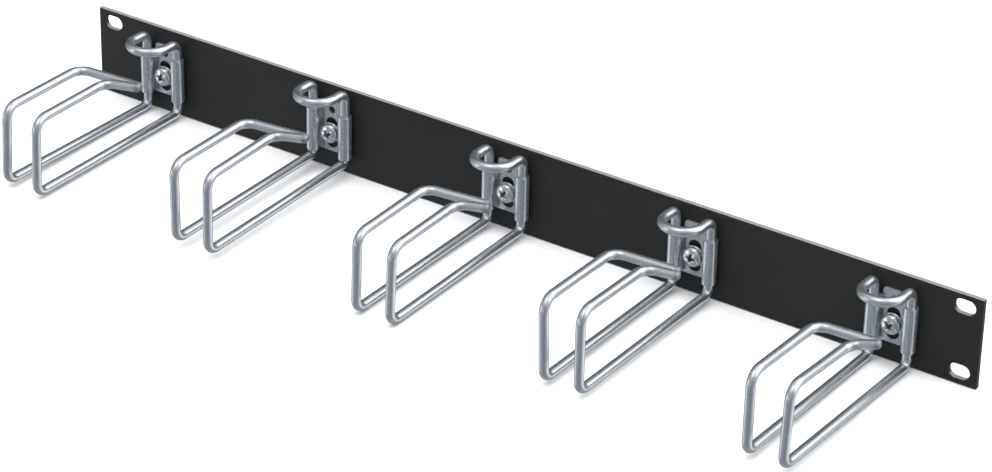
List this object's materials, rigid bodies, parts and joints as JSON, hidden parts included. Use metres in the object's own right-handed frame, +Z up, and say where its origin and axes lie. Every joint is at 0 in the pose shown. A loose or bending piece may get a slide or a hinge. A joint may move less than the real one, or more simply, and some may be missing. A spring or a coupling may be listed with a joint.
{
  "type": "horizontal cable manager",
  "caption": "Flat 1U rack panel with slotted ends and open bent-wire rings that hold cables running along its front.",
  "frame": {"origin": "middle of the panel's rear mounting face, which lies against the rack rails", "axes": "+X along the panel to its right end seen from the front, +Y into the rack, +Z up; the rings stand out along -Y"},
  "size_m": [0.4826, 0.1189, 0.049],
  "materials": {
    "panel_coating": "satin black powder coat on steel sheet, brighter along the cut edges",
    "zinc_wire": "bright zinc-plated round wire",
    "zinc_sheet": "bright zinc-plated pressed sheet",
    "screw_steel": "bright zinc-plated machine screw, washer and nut"
  },
  "bodies": {
    "root": {"face_panel": "panel_coating", "ring_wire_1": "zinc_wire", "clip_plate_1": "zinc_sheet", "clip_screw_1": "screw_steel", "plain_washer_1": "screw_steel", "hex_nut_1": "screw_steel", "ring_wire_2": "zinc_wire", "clip_plate_2": "zinc_sheet", "clip_screw_2": "screw_steel", "plain_washer_2": "screw_steel", "hex_nut_2": "screw_steel", "ring_wire_3": "zinc_wire", "clip_plate_3": "zinc_sheet", "clip_screw_3": "screw_steel", "plain_washer_3": "screw_steel", "hex_nut_3": "screw_steel", "ring_wire_4": "zinc_wire", "clip_plate_4": "zinc_sheet", "clip_screw_4": "screw_steel", "plain_washer_4": "screw_steel", "hex_nut_4": "screw_steel", "ring_wire_5": "zinc_wire", "clip_plate_5": "zinc_sheet", "clip_screw_5": "screw_steel", "plain_washer_5": "screw_steel", "hex_nut_5": "screw_steel"}
  },
  "joints": []
}
